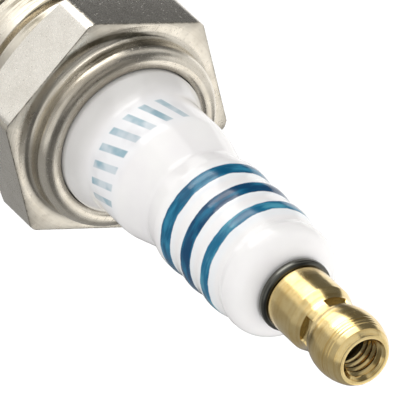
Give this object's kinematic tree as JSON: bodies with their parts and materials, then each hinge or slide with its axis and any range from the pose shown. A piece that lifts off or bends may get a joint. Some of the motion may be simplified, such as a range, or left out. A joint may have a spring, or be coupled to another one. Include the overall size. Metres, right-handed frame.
{
  "type": "spark plug",
  "caption": "Gasketed motorcycle spark plug with a hexagon shell, ribbed glazed insulator with blue rings, fine-wire electrode and a removable brass terminal nut.",
  "frame": {"origin": "centre of the shell's gasket seat, the plane that presses the gasket on the cylinder head", "axes": "+Z along the plug's axis from the firing end towards the terminal; two hexagon corners on the X axis, so two hexagon flats face +Y and -Y; the ground electrode's weld is on the +X side"},
  "size_m": [0.0234, 0.0206, 0.077],
  "materials": {
    "nickel_plate": "nickel-plated steel, satin with fine turning marks",
    "gasket_steel": "plated folded strip, satin",
    "nickel_alloy": "bare nickel alloy, drawn",
    "packing_steel": "bare steel",
    "dark_steel": "dark plated steel, glossy",
    "brass": "turned brass, bright",
    "copper": "bare copper",
    "iridium": "bright drawn wire",
    "glazed_alumina": "white glaze, high gloss",
    "talc": "packed powder, matt",
    "seal_glass": "copper-filled glass, satin",
    "carbon_glass": "sintered carbon and glass, matt"
  },
  "bodies": {
    "plug": {"metal_shell": "nickel_plate", "ground_electrode": "nickel_alloy", "insulator": "glazed_alumina", "seat_packing": "packing_steel", "lower_packing_ring": "packing_steel", "talc_fill": "talc", "upper_packing_ring": "packing_steel", "terminal_stud": "dark_steel", "upper_glass_seal": "seal_glass", "resistor": "carbon_glass", "lower_glass_seal": "seal_glass", "centre_electrode": "nickel_alloy", "centre_electrode_core": "copper", "iridium_tip": "iridium", "tip_weld_bead": "nickel_alloy"},
    "gasket": {"crush_gasket": "gasket_steel"},
    "nut": {"terminal_nut": "brass"}
  },
  "joints": [
    {"name": "terminal_nut_lift", "type": "slide", "parent": "plug", "child": "nut", "axis": [0, 0, 1], "range_m": [0, 0.012]},
    {"name": "gasket_play", "type": "slide", "parent": "plug", "child": "gasket", "axis": [0, 0, 1], "range_m": [0, 0.0006]}
  ]
}
